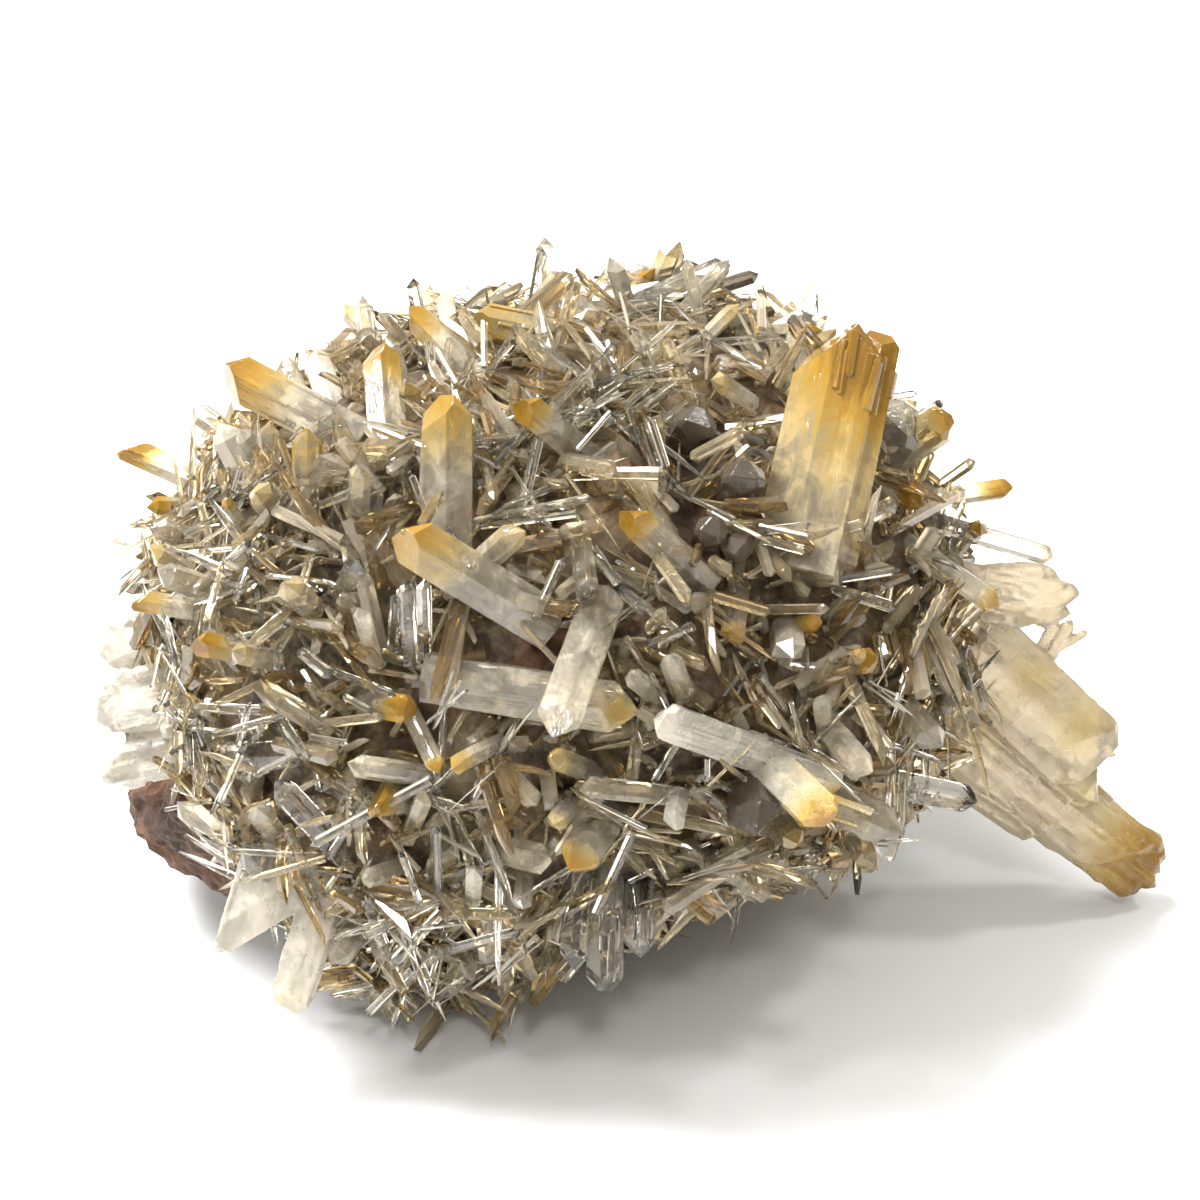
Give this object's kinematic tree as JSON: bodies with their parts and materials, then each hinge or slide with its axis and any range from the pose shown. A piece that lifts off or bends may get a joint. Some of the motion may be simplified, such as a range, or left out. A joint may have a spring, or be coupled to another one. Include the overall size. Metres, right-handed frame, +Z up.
{
  "type": "mango quartz cluster",
  "caption": "Mound of fine needle quartz on a scrap of brown host rock, with larger mango-tipped, milky and clear quartz prisms standing out of it; a display specimen.",
  "frame": {"origin": "middle of the bounding box's underside, on the surface that the specimen rests on", "axes": "+Z up; -Y towards the pictured front; +X to the right in the picture, towards the long milky tail, along the specimen's longest extent"},
  "size_m": [0.1541, 0.1167, 0.0954],
  "materials": {
    "mango": "gloss",
    "milky": "satin",
    "clear": "polished",
    "smoky": "gloss",
    "druse": "satin",
    "rock": "matte"
  },
  "bodies": {
    "root": {"matrix_rock": "rock", "needle_druse": "druse", "mango_prism_top_left": "mango", "mango_prism_top_upright": "mango", "mango_prism_top_brown": "mango", "mango_prism_top_edge": "mango", "mango_prism_behind_top": "mango", "mango_prism_upper_middle": "mango", "mango_prism_centre_upright": "mango", "mango_prism_centre_leaning": "mango", "mango_prism_beside_hollow": "mango", "mango_prism_tall_right": "mango", "mango_prism_right_end_on": "mango", "mango_prism_right_lower": "mango", "mango_prism_pointing_down": "mango", "mango_prism_front_bottom": "mango", "mango_prism_bottom_left": "mango", "mango_prism_back_1": "mango", "mango_prism_back_2": "mango", "mango_prism_back_3": "mango", "mango_prism_back_5": "mango", "mango_prism_back_6": "mango", "mango_point_left_high": "mango", "mango_point_left_middle": "mango", "mango_point_left_low": "mango", "mango_point_right_high": "mango", "mango_point_front_right": "mango", "mango_knob_front_left": "mango", "mango_knob_front_low": "mango", "mango_knob_right": "mango", "mango_needle_front_left": "mango", "olive_prism_front_low": "mango", "pale_prism_top_middle": "mango", "clear_prism_right_yellow": "mango", "pale_prism_top_edge": "milky", "pale_prism_top_left_broad": "milky", "milky_mass_left": "milky", "milky_slabs_bottom_left": "milky", "milky_prism_lying": "milky", "milky_flake_right": "milky", "milky_tail": "milky", "white_prism_lower_right": "milky", "bottom_prisms": "clear", "clear_blades_top_right": "clear", "clear_prism_right_long": "clear", "clear_prism_front_middle": "clear", "clear_prism_left_lying": "clear", "clear_prism_back_4": "clear", "grey_prism_left_low": "clear", "grey_prism_under_tail": "clear", "smoky_crystal_upper": "smoky", "smoky_crystal_right": "smoky", "smoky_crystal_lower": "smoky"}
  },
  "joints": []
}
